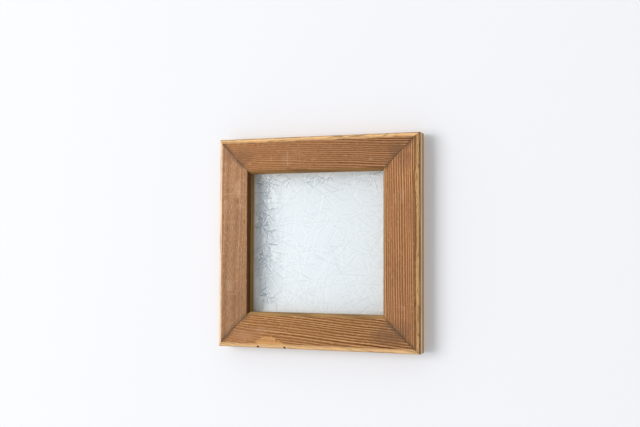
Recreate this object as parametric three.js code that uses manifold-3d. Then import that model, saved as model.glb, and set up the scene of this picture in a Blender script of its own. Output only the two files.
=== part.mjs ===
// A square picture frame of reclaimed softwood board, glazed with figured glass and hung by a ring.
// Millimetres. +X is to the right of someone facing the frame, +Y points at the wall, +Z is up.
// The origin is where the nail bears on the hanger ring, on the surface of the wall.
import * as THREE from "three";
import { mergeVertices } from "three/addons/utils/BufferGeometryUtils.js";
import Module from "manifold-3d";

// Frame and rail section
const FRAME_WIDTH = 300;
const FRAME_HEIGHT = 300;
const RAIL_WIDTH = 51;
const RAIL_THICKNESS = 28;
const OUTER_CHAMFER = 6.5;
const SIGHT_CHAMFER = 4.3;
const BACK_CHAMFER = 1.2;
const WORN_EDGE = 0.9;
const RABBET_WIDTH = 6;

// Sheets held in the rabbet, from the front
const GLASS_THICKNESS = 4;
const SPACER_THICKNESS = 4;
const SPACER_WIDTH = 4;
const CARD_THICKNESS = 1.5;
const BOARD_THICKNESS = 3;

// Marks of the board's earlier use, all on the bottom rail and set out from its left end
const OLD_NAIL_DIAMETER = 2.8;
const OLD_NAIL_DEPTH = 16;
const OLD_NAIL_FROM_FACE = 5;
const OLD_NAIL_INSETS = [63, 104];
const CHIP_INSET = 84;
const CHIP_LENGTH = 48;
const CHIP_RISE = 11.5;
const CHIP_DEPTH = 1.2;

// V-nails, two across the back of each mitre
const V_NAIL_INSETS = { outer: 14, inner: 32 };
const V_NAIL_LEG = 6;
const V_NAIL_THICKNESS = 0.8;
const V_NAIL_HEIGHT = 12;
const V_NAIL_SINK = 0.2;
const V_NAIL_HALF_ANGLE = THREE.MathUtils.degToRad(55);

// Turn buttons on the side rails
const BUTTON_THICKNESS = 1.2;
const BUTTON_HEEL_RADIUS = 6;
const BUTTON_TIP_RADIUS = 3.5;
const BUTTON_PIVOT_INSET = 9;
const BUTTON_BITE = 8;
const BUTTON_SPACING = 110;

// Ring hanger at the middle of the top rail
const RING_WIRE = 2;
const RING_REACH = 11;
const RING_CORNER = 2.2;
const RING_TOP_INSET = 5;
const STRAP_WIDTH = 10;
const STRAP_THICKNESS = 0.8;
const STRAP_LENGTH = 22;
const STRAP_CURL = THREE.MathUtils.degToRad(290);
const STRAP_SCREW_INSETS = { upper: 6.5, lower: 16.5 };

// Screws, bumpers
const SCREW_SHANK = 2.7;
const SCREW_LENGTH = 14;
const SCREW_TIP = 3;
const SCREW_HEAD = 5.6;
const SCREW_HEAD_HEIGHT = 1.7;
const BUMPER_DIAMETER = 11;
const BUMPER_EDGE = 1.2;
const BUMPER_SIDE_INSET = 62;
const BUMPER_BOTTOM_INSET = 22;

// Clearances
const CONTACT_GAP = 0.3;
const MITRE_GAP = 0.3;
const RUNNING_GAP = 0.25;
const SHEET_MARGIN = 1;
const WALL_GAP = 0.4;
const CUT_OVERSHOOT = 2;
const ROUND_SEGMENTS = 20;

// Sizes that follow from the values above
const RABBET_DEPTH =
  GLASS_THICKNESS + SPACER_THICKNESS + CARD_THICKNESS + BOARD_THICKNESS + 5 * CONTACT_GAP;
const BACK_LAND = RAIL_WIDTH - RABBET_WIDTH;
const SHEET_WIDTH = FRAME_WIDTH - 2 * (BACK_LAND + SHEET_MARGIN);
const SHEET_HEIGHT = FRAME_HEIGHT - 2 * (BACK_LAND + SHEET_MARGIN);
const CURL_BORE_RADIUS = RING_WIRE / 2 + RUNNING_GAP;
const CURL_RADIUS = CURL_BORE_RADIUS + STRAP_THICKNESS;
const BUTTON_SCREW_SEAT = 2 * CONTACT_GAP + BUTTON_THICKNESS;
const STRAP_SCREW_SEAT = 2 * CONTACT_GAP + STRAP_THICKNESS;
const HARDWARE_HEIGHT = Math.max(
  CONTACT_GAP + 2 * CURL_RADIUS,
  BUTTON_SCREW_SEAT + SCREW_HEAD_HEIGHT,
  STRAP_SCREW_SEAT + SCREW_HEAD_HEIGHT,
);
const WALL_STANDOFF = HARDWARE_HEIGHT + WALL_GAP;
const BUMPER_THICKNESS = WALL_STANDOFF - CONTACT_GAP;
const HANG_HEIGHT = FRAME_HEIGHT / 2 - RING_TOP_INSET - RING_WIRE;
const RING_AXIS_INSET = RING_TOP_INSET + RING_WIRE / 2 + RING_REACH;

const wasm = await Module();
wasm.setup();

// A closed geometry as a solid that can be cut.
function solidOf(geometry) {
  const bare = new THREE.BufferGeometry();
  bare.setAttribute("position", geometry.getAttribute("position"));
  bare.setIndex(geometry.getIndex());
  const merged = mergeVertices(bare, 1e-4);
  return new wasm.Manifold(
    new wasm.Mesh({
      numProp: 3,
      vertProperties: new Float32Array(merged.getAttribute("position").array),
      triVerts: new Uint32Array(merged.getIndex().array),
    }),
  );
}

// A cut solid back as a geometry with flat-shaded faces.
function geometryOf(solid) {
  const mesh = solid.getMesh();
  const geometry = new THREE.BufferGeometry();
  geometry.setAttribute("position", new THREE.BufferAttribute(mesh.vertProperties, 3));
  geometry.setIndex(new THREE.BufferAttribute(mesh.triVerts, 1));
  const faceted = geometry.toNonIndexed();
  faceted.computeVertexNormals();
  return faceted;
}

function cut(geometry, tools) {
  return geometryOf(tools.reduce((solid, tool) => solid.subtract(solidOf(tool)), solidOf(geometry)));
}

// A flat plate from an outline in X and Z, with its wall-side face at backY.
function plate(shape, thickness, backY) {
  const geometry = new THREE.ExtrudeGeometry(shape, {
    depth: thickness,
    bevelEnabled: false,
    curveSegments: ROUND_SEGMENTS,
  });
  return geometry.rotateX(Math.PI / 2).translate(0, backY, 0);
}

// A round bit along Y, from the back of the rails to a depth in the wood.
function bore(diameter, depth, x, z) {
  const length = depth + CUT_OVERSHOOT;
  const bit = new THREE.CylinderGeometry(diameter / 2, diameter / 2, length, ROUND_SEGMENTS);
  return bit.translate(x, CUT_OVERSHOOT - length / 2, z);
}

// A closed outline through corner points, each [x, y, radius of its worn round].
function roundedOutline(corners) {
  const points = corners.map(([x, y]) => new THREE.Vector2(x, y));
  const shape = new THREE.Shape();
  corners.forEach(([, , radius], i) => {
    const corner = points[i];
    const before = points.at(i - 1).clone().sub(corner);
    const after = points[(i + 1) % points.length].clone().sub(corner);
    const start = corner.clone().add(before.setLength(radius));
    const end = corner.clone().add(after.setLength(radius));
    if (i === 0) shape.moveTo(start.x, start.y);
    else shape.lineTo(start.x, start.y);
    if (radius > 0) shape.quadraticCurveTo(corner.x, corner.y, end.x, end.y);
  });
  shape.closePath();
  return shape;
}

function addMesh(group, name, geometry, color, roughness, metalness) {
  const mesh = new THREE.Mesh(geometry, new THREE.MeshStandardMaterial({ color, roughness, metalness }));
  mesh.name = name;
  group.add(mesh);
  return mesh;
}

// The assembly is set out from the middle of the frame, with the backs of the rails at Y = 0.
const pictureFrame = new THREE.Group();
const assembly = new THREE.Group();
assembly.position.set(0, -WALL_STANDOFF, -HANG_HEIGHT);
pictureFrame.add(assembly);

// Rails: one moulded section, drawn from the outer edge inwards and from the back forwards.
function railSection() {
  const rabbetWall = BACK_LAND;
  return roundedOutline([
    [BACK_CHAMFER, 0, 0],
    [rabbetWall, 0, 0],
    [rabbetWall, RABBET_DEPTH, 0],
    [RAIL_WIDTH, RABBET_DEPTH, 0],
    [RAIL_WIDTH, RAIL_THICKNESS - SIGHT_CHAMFER, WORN_EDGE],
    [RAIL_WIDTH - SIGHT_CHAMFER, RAIL_THICKNESS, WORN_EDGE],
    [OUTER_CHAMFER, RAIL_THICKNESS, WORN_EDGE],
    [0, RAIL_THICKNESS - OUTER_CHAMFER, WORN_EDGE],
    [0, BACK_CHAMFER, 0],
  ]);
}

// A length of the section whose ends are drawn in by their distance from the outer edge: the mitre.
function mitredRail(length) {
  const rail = new THREE.ExtrudeGeometry(railSection(), {
    depth: length,
    bevelEnabled: false,
    curveSegments: 3,
  });
  const position = rail.getAttribute("position");
  const setback = MITRE_GAP / Math.SQRT2;
  for (let i = 0; i < position.count; i++) {
    const inwards = position.getX(i) + setback;
    const along = position.getZ(i);
    position.setZ(i, along < length / 2 ? inwards : length - inwards);
  }
  const inward = new THREE.Vector3(0, 0, 1);
  const forward = new THREE.Vector3(0, -1, 0);
  const lengthwise = new THREE.Vector3(1, 0, 0);
  rail.applyMatrix4(new THREE.Matrix4().makeBasis(inward, forward, lengthwise));
  return rail.translate(-length / 2, 0, 0);
}

// A V-nail's outline about an outer corner, with the mitre running at 45 degrees between +X and +Z.
// side is -1 at a corner whose mitre runs between -X and +Z. grow widens the outline all round.
function vNailOutline(inset, grow, side) {
  const sine = Math.sin(V_NAIL_HALF_ANGLE);
  const cosine = Math.cos(V_NAIL_HALF_ANGLE);
  const thickness = V_NAIL_THICKNESS + 2 * grow;
  const apex = inset * Math.SQRT2 - grow / sine;
  const leg = V_NAIL_LEG + grow * (1 + cosine / sine);
  const tip = [leg * cosine, leg * sine];
  const innerTip = [tip[0] + thickness * sine, tip[1] - thickness * cosine];
  const outline = [
    [0, 0],
    [tip[0], -tip[1]],
    [innerTip[0], -innerTip[1]],
    [thickness / sine, 0],
    innerTip,
    tip,
  ];
  return new THREE.Shape(
    outline.map(([along, across]) => {
      const x = (apex + along - across) / Math.SQRT2;
      const z = (apex + along + across) / Math.SQRT2;
      return new THREE.Vector2(side * x, z);
    }),
  );
}

// The slots that the V-nails cut in the two ends of a rail.
function vNailSlots(length) {
  const depth = V_NAIL_SINK + V_NAIL_HEIGHT + CONTACT_GAP;
  return [1, -1].flatMap((side) =>
    Object.values(V_NAIL_INSETS).map((inset) => {
      const outline = vNailOutline(inset, CONTACT_GAP, side);
      const slot = plate(outline, depth + CUT_OVERSHOOT, CUT_OVERSHOOT);
      return slot.translate((-side * length) / 2, 0, 0);
    }),
  );
}

function screwHole(seat, x, z) {
  return bore(SCREW_SHANK + 2 * CONTACT_GAP, SCREW_LENGTH - seat + CONTACT_GAP, x, z);
}

function buttonScrewHoles() {
  const across = BACK_LAND - BUTTON_PIVOT_INSET;
  return [-1, 1].map((end) => screwHole(BUTTON_SCREW_SEAT, (end * BUTTON_SPACING) / 2, across));
}

function hangerScrewHoles() {
  return Object.values(STRAP_SCREW_INSETS).map((inset) =>
    screwHole(STRAP_SCREW_SEAT, 0, RING_AXIS_INSET + inset),
  );
}

// Holes of the nails that once held the board, drilled up from its edge and opened by the chamfer.
function oldNailHoles() {
  const length = OLD_NAIL_DEPTH + CUT_OVERSHOOT;
  return OLD_NAIL_INSETS.map((inset) => {
    const radius = OLD_NAIL_DIAMETER / 2;
    const hole = new THREE.CylinderGeometry(radius, radius, length, ROUND_SEGMENTS);
    hole.rotateX(Math.PI / 2);
    const x = inset - FRAME_WIDTH / 2;
    return hole.translate(x, OLD_NAIL_FROM_FACE - RAIL_THICKNESS, OLD_NAIL_DEPTH - length / 2);
  });
}

// A shallow scoop at the chamfer's edge, where the weathered skin of the board has split off.
function chip() {
  const scoop = new THREE.SphereGeometry(1, 28, 14);
  scoop.scale(CHIP_LENGTH / 2, CHIP_DEPTH, CHIP_RISE);
  return scoop.translate(CHIP_INSET - FRAME_WIDTH / 2, -RAIL_THICKNESS, OUTER_CHAMFER);
}

const rails = [
  { name: "bottom_rail", length: FRAME_WIDTH, x: 0, z: -FRAME_HEIGHT / 2, turn: 0, color: 0xa4744b },
  { name: "left_rail", length: FRAME_HEIGHT, x: -FRAME_WIDTH / 2, z: 0, turn: 1, color: 0xaa805f },
  { name: "top_rail", length: FRAME_WIDTH, x: 0, z: FRAME_HEIGHT / 2, turn: 2, color: 0xa0714d },
  { name: "right_rail", length: FRAME_HEIGHT, x: FRAME_WIDTH / 2, z: 0, turn: 3, color: 0xa67551 },
];
const extraCuts = {
  bottom_rail: () => [...oldNailHoles(), chip()],
  left_rail: buttonScrewHoles,
  top_rail: hangerScrewHoles,
  right_rail: buttonScrewHoles,
};
for (const { name, length, x, z, turn, color } of rails) {
  const seat = new THREE.Group();
  seat.position.set(x, 0, z);
  seat.rotation.y = (turn * Math.PI) / 2;
  assembly.add(seat);
  const geometry = cut(mitredRail(length), [...vNailSlots(length), ...extraCuts[name]()]);
  addMesh(seat, name, geometry, color, 0.8, 0);
}

// V-nails: bent steel strips driven into the back across each mitre.
const corners = [
  { name: "bottom_left", x: -FRAME_WIDTH / 2, z: -FRAME_HEIGHT / 2, turn: 0 },
  { name: "top_left", x: -FRAME_WIDTH / 2, z: FRAME_HEIGHT / 2, turn: 1 },
  { name: "top_right", x: FRAME_WIDTH / 2, z: FRAME_HEIGHT / 2, turn: 2 },
  { name: "bottom_right", x: FRAME_WIDTH / 2, z: -FRAME_HEIGHT / 2, turn: 3 },
];
for (const { name, x, z, turn } of corners) {
  const corner = new THREE.Group();
  corner.position.set(x, 0, z);
  corner.rotation.y = (turn * Math.PI) / 2;
  assembly.add(corner);
  for (const [place, inset] of Object.entries(V_NAIL_INSETS)) {
    const nail = plate(vNailOutline(inset, 0, 1), V_NAIL_HEIGHT, -V_NAIL_SINK);
    addMesh(corner, `v_nail_${name}_${place}`, nail, 0x8f9296, 0.4, 1);
  }
}

// Sheets in the rabbet, one behind the other, with strips of wood that keep the card off the glass.
const cardBack = -2 * CONTACT_GAP - BOARD_THICKNESS;
const spacerBack = cardBack - CARD_THICKNESS - CONTACT_GAP;
const glassBack = spacerBack - SPACER_THICKNESS - CONTACT_GAP;
const sheets = [
  { name: "back_board", back: -CONTACT_GAP, thickness: BOARD_THICKNESS, color: 0xc4a06c, roughness: 0.8 },
  { name: "white_card", back: cardBack, thickness: CARD_THICKNESS, color: 0xf4f4f2, roughness: 0.9 },
  { name: "figured_glass", back: glassBack, thickness: GLASS_THICKNESS, color: 0xe6efec, roughness: 0.1 },
];
for (const { name, back, thickness, color, roughness } of sheets) {
  const sheet = new THREE.BoxGeometry(SHEET_WIDTH, thickness, SHEET_HEIGHT);
  const mesh = addMesh(assembly, name, sheet, color, roughness, 0);
  mesh.position.y = back - thickness / 2;
  if (name === "figured_glass") {
    mesh.material.transparent = true;
    mesh.material.opacity = 0.35;
  }
}

const spacerX = (SHEET_WIDTH - SPACER_WIDTH) / 2;
const spacerZ = (SHEET_HEIGHT - SPACER_WIDTH) / 2;
const uprightHeight = SHEET_HEIGHT - 2 * (SPACER_WIDTH + CONTACT_GAP);
const spacers = [
  { name: "spacer_top", width: SHEET_WIDTH, height: SPACER_WIDTH, x: 0, z: spacerZ },
  { name: "spacer_bottom", width: SHEET_WIDTH, height: SPACER_WIDTH, x: 0, z: -spacerZ },
  { name: "spacer_left", width: SPACER_WIDTH, height: uprightHeight, x: -spacerX, z: 0 },
  { name: "spacer_right", width: SPACER_WIDTH, height: uprightHeight, x: spacerX, z: 0 },
];
for (const { name, width, height, x, z } of spacers) {
  const strip = new THREE.BoxGeometry(width, SPACER_THICKNESS, height);
  const mesh = addMesh(assembly, name, strip, 0xd8c39c, 0.85, 0);
  mesh.position.set(x, spacerBack - SPACER_THICKNESS / 2, z);
}

// A pan-head screw along Y, with the underside of its head at Y = 0.
function screw() {
  const shank = SCREW_SHANK / 2;
  const head = SCREW_HEAD / 2;
  const rim = SCREW_HEAD_HEIGHT / 3;
  const dome = new THREE.EllipseCurve(0, rim, head, SCREW_HEAD_HEIGHT - rim, 0, Math.PI / 2);
  const profile = [
    new THREE.Vector2(0, -SCREW_LENGTH),
    new THREE.Vector2(shank, SCREW_TIP - SCREW_LENGTH),
    new THREE.Vector2(shank, 0),
    new THREE.Vector2(head, 0),
    ...dome.getPoints(5).slice(0, -1),
    new THREE.Vector2(0, SCREW_HEAD_HEIGHT),
  ];
  return new THREE.LatheGeometry(profile, ROUND_SEGMENTS);
}

// Turn button: a round heel on the screw and a tongue over the back board, joined by tangents.
function turnButton() {
  const reach = BUTTON_PIVOT_INSET + SHEET_MARGIN + BUTTON_BITE - BUTTON_TIP_RADIUS;
  const tangent = Math.acos((BUTTON_HEEL_RADIUS - BUTTON_TIP_RADIUS) / reach);
  const outline = new THREE.Shape();
  outline.absarc(0, 0, BUTTON_HEEL_RADIUS, tangent, 2 * Math.PI - tangent, false);
  outline.absarc(reach, 0, BUTTON_TIP_RADIUS, -tangent, tangent, false);
  const hole = new THREE.Path();
  hole.absarc(0, 0, SCREW_SHANK / 2 + RUNNING_GAP, 0, 2 * Math.PI, true);
  outline.holes.push(hole);
  return plate(outline, BUTTON_THICKNESS, CONTACT_GAP + BUTTON_THICKNESS);
}

const pivotX = FRAME_WIDTH / 2 - BACK_LAND + BUTTON_PIVOT_INSET;
for (const [sideName, side] of [["left", -1], ["right", 1]]) {
  for (const [endName, end] of [["upper", 1], ["lower", -1]]) {
    const place = `${sideName}_${endName}`;
    const pivot = new THREE.Group();
    pivot.position.set(side * pivotX, 0, (end * BUTTON_SPACING) / 2);
    pivot.rotation.y = side < 0 ? 0 : Math.PI;
    assembly.add(pivot);
    addMesh(pivot, `turn_button_${place}`, turnButton(), 0xb59250, 0.35, 1);
    const fixing = addMesh(pivot, `turn_button_screw_${place}`, screw(), 0xb0a27a, 0.35, 1);
    fixing.position.y = BUTTON_SCREW_SEAT;
  }
}

// Hanger ring: a wire loop with a straight bar on the hinge axis and a bowed top.
class HangerLoop extends THREE.Curve {
  constructor(outline) {
    super();
    this.outline = outline;
  }
  getPoint(t, target = new THREE.Vector3()) {
    const point = this.outline.getPoint(t);
    return target.set(point.x, 0, point.y);
  }
}

function hangerRing() {
  const straight = STRAP_WIDTH / 2 + 2 * RUNNING_GAP;
  const half = straight + RING_CORNER;
  const outline = new THREE.Path();
  outline.moveTo(-straight, 0);
  outline.lineTo(straight, 0);
  outline.absarc(straight, RING_CORNER, RING_CORNER, -Math.PI / 2, 0, false);
  outline.absellipse(0, RING_CORNER, half, RING_REACH - RING_CORNER, 0, Math.PI, false);
  outline.absarc(-straight, RING_CORNER, RING_CORNER, Math.PI, 1.5 * Math.PI, false);
  return new THREE.TubeGeometry(new HangerLoop(outline), 56, RING_WIRE / 2, 10, true);
}

// Hanger strap: its side view, a flat leaf curled round the ring's bar, trimmed to its plan outline.
function hangerStrap() {
  const axisHeight = CURL_RADIUS;
  const start = -Math.PI / 2;
  const end = start - STRAP_CURL;
  const side = new THREE.Shape();
  side.moveTo(STRAP_LENGTH, 0);
  side.lineTo(STRAP_LENGTH, STRAP_THICKNESS);
  side.lineTo(0, STRAP_THICKNESS);
  side.absarc(0, axisHeight, CURL_BORE_RADIUS, start, end, true);
  side.absarc(0, axisHeight, CURL_RADIUS, end, start, false);
  side.closePath();
  const stockWidth = STRAP_WIDTH + 2 * CUT_OVERSHOOT;
  const leaf = new THREE.ExtrudeGeometry(side, {
    depth: stockWidth,
    bevelEnabled: false,
    curveSegments: ROUND_SEGMENTS,
  });
  const down = new THREE.Vector3(0, 0, -1);
  const outward = new THREE.Vector3(0, 1, 0);
  const across = new THREE.Vector3(1, 0, 0);
  leaf.applyMatrix4(new THREE.Matrix4().makeBasis(down, outward, across));
  leaf.translate(-stockWidth / 2, CONTACT_GAP, 0);

  const half = STRAP_WIDTH / 2;
  const plan = new THREE.Shape();
  plan.moveTo(half, CURL_RADIUS + CUT_OVERSHOOT);
  plan.lineTo(-half, CURL_RADIUS + CUT_OVERSHOOT);
  plan.absarc(0, half - STRAP_LENGTH, half, Math.PI, 2 * Math.PI, false);
  plan.closePath();
  const trimHeight = 2 * CURL_RADIUS + 2 * CUT_OVERSHOOT;
  const trim = plate(plan, trimHeight, trimHeight - CUT_OVERSHOOT);
  const trimmed = geometryOf(solidOf(leaf).intersect(solidOf(trim)));
  const holes = Object.values(STRAP_SCREW_INSETS).map((inset) =>
    bore(SCREW_SHANK + 2 * CONTACT_GAP, CUT_OVERSHOOT, 0, -inset),
  );
  return cut(trimmed, holes);
}

const hanger = new THREE.Group();
hanger.position.set(0, 0, FRAME_HEIGHT / 2 - RING_AXIS_INSET);
assembly.add(hanger);
addMesh(hanger, "hanger_strap", hangerStrap(), 0xb59250, 0.35, 1);
const ring = addMesh(hanger, "hanger_ring", hangerRing(), 0xb59250, 0.3, 1);
ring.position.y = CONTACT_GAP + CURL_RADIUS;
for (const [place, inset] of Object.entries(STRAP_SCREW_INSETS)) {
  const fixing = addMesh(hanger, `hanger_screw_${place}`, screw(), 0xb0a27a, 0.35, 1);
  fixing.position.set(0, STRAP_SCREW_SEAT, -inset);
}

// Bumpers: rubber pads that keep the back level with the hanger and off the wall.
function bumper() {
  const radius = BUMPER_DIAMETER / 2;
  const edge = new THREE.EllipseCurve(
    radius - BUMPER_EDGE,
    BUMPER_THICKNESS - BUMPER_EDGE,
    BUMPER_EDGE,
    BUMPER_EDGE,
    0,
    Math.PI / 2,
  );
  const profile = [
    new THREE.Vector2(0, 0),
    new THREE.Vector2(radius, 0),
    ...edge.getPoints(4),
    new THREE.Vector2(0, BUMPER_THICKNESS),
  ];
  return new THREE.LatheGeometry(profile, ROUND_SEGMENTS);
}

for (const [sideName, side] of [["left", -1], ["right", 1]]) {
  const pad = addMesh(assembly, `wall_bumper_${sideName}`, bumper(), 0x3a3836, 0.85, 0);
  const x = side * (FRAME_WIDTH / 2 - BUMPER_SIDE_INSET);
  pad.position.set(x, CONTACT_GAP, BUMPER_BOTTOM_INSET - FRAME_HEIGHT / 2);
}

export default pictureFrame;
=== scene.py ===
# A square picture frame of reclaimed softwood, glazed with needle-figured glass, hung on a white wall.
# Metres. +X is to the right of someone facing the frame, +Y points at the wall, +Z is up.
import math
import random
from types import SimpleNamespace

import bmesh
import bpy
import numpy
from mathutils import Matrix, Vector, geometry, noise


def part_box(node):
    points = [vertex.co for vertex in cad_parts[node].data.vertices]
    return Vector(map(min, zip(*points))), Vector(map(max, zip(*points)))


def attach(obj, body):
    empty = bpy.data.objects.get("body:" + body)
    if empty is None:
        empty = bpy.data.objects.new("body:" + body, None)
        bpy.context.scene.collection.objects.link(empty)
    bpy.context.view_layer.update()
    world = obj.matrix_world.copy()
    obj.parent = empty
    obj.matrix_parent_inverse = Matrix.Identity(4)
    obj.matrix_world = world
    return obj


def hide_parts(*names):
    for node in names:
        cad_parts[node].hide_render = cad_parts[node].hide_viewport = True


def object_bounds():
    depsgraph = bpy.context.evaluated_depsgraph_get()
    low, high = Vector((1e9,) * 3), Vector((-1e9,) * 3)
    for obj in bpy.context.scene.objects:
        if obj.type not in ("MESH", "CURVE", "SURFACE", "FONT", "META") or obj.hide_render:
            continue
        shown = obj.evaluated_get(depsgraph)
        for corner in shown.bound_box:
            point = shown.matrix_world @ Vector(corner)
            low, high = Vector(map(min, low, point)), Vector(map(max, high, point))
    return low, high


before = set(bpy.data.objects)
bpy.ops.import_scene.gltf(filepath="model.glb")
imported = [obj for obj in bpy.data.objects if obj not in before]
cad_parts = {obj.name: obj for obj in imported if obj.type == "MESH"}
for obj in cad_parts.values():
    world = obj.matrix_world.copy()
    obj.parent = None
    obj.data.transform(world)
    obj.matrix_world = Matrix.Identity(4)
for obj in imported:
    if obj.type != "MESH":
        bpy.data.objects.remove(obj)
cad_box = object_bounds()


# Rails
# Four lengths of old softwood board, mitred, glued and V-nailed. The face keeps its weathered skin with
# the hard grain standing proud; both front edges are chamfered and the back is rabbeted for the glass.
MM = 0.001
FLUSH = 0.01 * MM
TOUCHING = 0.001 * MM
OUTER_CHAMFER = 6.5 * MM
SIGHT_CHAMFER = 4.3 * MM
BACK_CHAMFER = 1.2 * MM
WORN_EDGE = 0.9 * MM
WORN_EDGE_STEPS = 4
RABBET_WIDTH = 6 * MM
MITRE_GAP = 0.3 * MM
SHEET_GAP = 0.3 * MM
FACE_STEP = 0.45 * MM
PLAIN_STEP = 1.5 * MM
LENGTH_STEP = 2 * MM
TOOL_OVERSHOOT = 2 * MM
CREASE_ANGLE = math.radians(40)

frame_low, frame_high = cad_box
rail_low, rail_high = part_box("bottom_rail")
pane_low, pane_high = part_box("figured_glass")
FRAME_SIDE = frame_high.x - frame_low.x
RAIL_WIDTH = rail_high.z - rail_low.z
RAIL_THICKNESS = rail_high.y - rail_low.y
RABBET_DEPTH = rail_high.y - pane_low.y + SHEET_GAP
FRAME_MIDDLE = Vector((0, rail_high.y, rail_low.z + FRAME_SIDE / 2))

# The bottom rail's old nail holes, set out from the middle of the rail.
OLD_NAIL_PLACES = (-87 * MM, -46 * MM)
OLD_NAIL_RADIUS = 1.4 * MM
OLD_NAIL_TAPER = 0.85
OLD_NAIL_DEPTH = 16 * MM
OLD_NAIL_FROM_FACE = 5 * MM
OLD_NAIL_SIDES = 20

# Its split-off patch, set out in the same way, in millimetres as the rest of the grain is.
CHIP_ALONG = (-90, -87, -79, -69, -60, -51, -42.5)
CHIP_RISE = (0, 5, 8.8, 11, 8.7, 4, 0)
CHIP_DEPTH = 1.2
CHIP_SLOPE = 2.5
CHIP_RAGGED = 0.12


def srgb(red, green, blue):
    """A colour given as 8-bit sRGB, as the linear colour that a socket takes."""
    parts = [part / 255 for part in (red, green, blue)]
    linear = [((part + 0.055) / 1.055) ** 2.4 if part > 0.04 else part / 12.92 for part in parts]
    return (*linear, 1)


# How each board grew and weathered, a line each for:
# its quarter turns, noise seed, pith across from the outer edge and behind the face, rings and their course;
# relief of the face, contrast of its lines, gain of the lines and of the tone along it, fine hairs;
# tones of the skin and of its dark and light lines;
# dark arris, line along the side (amount, reach), pale band on the side (depth, half width, amount), figure
# of the fresh chamfer (turns in a ring, turns in a millimetre, bow, tone of the late wood);
# tones of the fresh chamfer, the sight chamfer and the wall under it.
BOARDS = {
    "bottom_rail": {
        "turn": 0, "seed": 3.1, "pith": (-55, 38), "ring": 3.3, "slope": 0.09, "sway": 1.6, "ripple": 0.3,
        "relief": 0.25, "contrast": 0.92, "lined": 0.003, "drift": -0.0012, "hair": 0.35,
        "tone": srgb(153, 104, 59), "dark": srgb(98, 55, 21), "light": srgb(226, 172, 118),
        "arris": 0.25, "edge": (0.3, 0.6), "band": (18, 2.5, 0.4), "figure": (0.6, 0.01, 4, 0.55),
        "fresh": srgb(246, 198, 142), "sight": srgb(168, 130, 82), "wall": srgb(168, 130, 82),
    },
    "left_rail": {
        "turn": 1, "seed": 11.7, "pith": (22, 62), "ring": 1.3, "slope": 0.02, "sway": 2.0, "ripple": 0.3,
        "relief": 0.1, "contrast": 0.3, "lined": 0, "drift": -0.001, "hair": 0.62,
        "tone": srgb(164, 120, 85), "dark": srgb(112, 74, 46), "light": srgb(204, 164, 130),
        "arris": 0.15, "edge": (0.0, 0.6), "band": (16, 2.5, 0.3), "figure": (0.4, 0.004, 3, 0.5),
        "fresh": srgb(232, 201, 168), "sight": srgb(90, 56, 22), "wall": srgb(138, 104, 56),
    },
    "top_rail": {
        "turn": 2, "seed": 23.4, "pith": (-70, 40), "ring": 2.7, "slope": 0.05, "sway": 2.0, "ripple": 0.3,
        "relief": 0.2, "contrast": 0.85, "lined": -0.005, "drift": 0.0011, "hair": 0.45,
        "tone": srgb(156, 106, 65), "dark": srgb(102, 60, 30), "light": srgb(202, 148, 104),
        "arris": 0.35, "edge": (0.6, 0.6), "band": (12, 2.5, 0.4), "figure": (0.57, -0.014, 7, 0.3),
        "fresh": srgb(247, 197, 138), "sight": srgb(147, 107, 63), "wall": srgb(147, 107, 63),
    },
    "right_rail": {
        "turn": 3, "seed": 37.9, "pith": (-90, 12), "ring": 3.2, "slope": -0.01, "sway": 1.0, "ripple": 0.2,
        "relief": 0.25, "contrast": 0.95, "lined": 0, "drift": 0.0006, "hair": 0.3,
        "tone": srgb(163, 112, 71), "dark": srgb(104, 58, 26), "light": srgb(218, 162, 116),
        "arris": 0.8, "edge": (0.75, 3.2), "band": (14, 4, 1.0), "figure": (0.6, 0.004, 12, 0.3),
        "fresh": srgb(249, 192, 132), "sight": srgb(170, 130, 90), "wall": srgb(186, 146, 98),
    },
}


def rail_section():
    """The moulded outline of a rail as one face, with its worn front corners and closely cut edges."""
    bm = bmesh.new()
    rabbet_wall = RAIL_WIDTH - RABBET_WIDTH
    outline = [
        (BACK_CHAMFER, 0),
        (rabbet_wall, 0),
        (rabbet_wall, RABBET_DEPTH),
        (RAIL_WIDTH, RABBET_DEPTH),
        (RAIL_WIDTH, RAIL_THICKNESS - SIGHT_CHAMFER),
        (RAIL_WIDTH - SIGHT_CHAMFER, RAIL_THICKNESS),
        (OUTER_CHAMFER, RAIL_THICKNESS),
        (0, RAIL_THICKNESS - OUTER_CHAMFER),
        (0, BACK_CHAMFER),
    ]
    corners = [bm.verts.new((0, -height, across)) for across, height in outline]
    bm.faces.new(corners)
    front_corners = corners[4:8]
    bmesh.ops.bevel(
        bm, geom=front_corners, offset=WORN_EDGE, offset_type="OFFSET", segments=WORN_EDGE_STEPS, profile=0.5,
        affect="VERTICES", material=-1,
    )
    for edge in list(bm.edges):
        on_face = all(vert.co.y < FLUSH - RAIL_THICKNESS for vert in edge.verts)
        cuts = int(edge.calc_length() / (FACE_STEP if on_face else PLAIN_STEP))
        if cuts:
            bmesh.ops.subdivide_edges(bm, edges=[edge], cuts=cuts)
    return bm


def verts_in(made):
    return [item for item in made["geom"] if isinstance(item, bmesh.types.BMVert)]


def mitred_rail():
    """A length of the section, its ends drawn in by their distance from the outer edge: the mitre."""
    bm = rail_section()
    half = FRAME_SIDE / 2
    bmesh.ops.translate(bm, verts=bm.verts, vec=(-half, 0, 0))
    far_end = bmesh.ops.extrude_face_region(bm, geom=bm.faces[:])
    bmesh.ops.translate(bm, verts=verts_in(far_end), vec=(FRAME_SIDE, 0, 0))
    lengthwise = [edge for edge in bm.edges if edge.calc_length() > half]
    bmesh.ops.subdivide_edges(bm, edges=lengthwise, cuts=round(FRAME_SIDE / LENGTH_STEP) - 1)
    for vert in bm.verts:
        vert.co.x *= 1 - (vert.co.z + MITRE_GAP / math.sqrt(2)) / half
    bmesh.ops.recalc_face_normals(bm, faces=bm.faces)
    return bm


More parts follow.
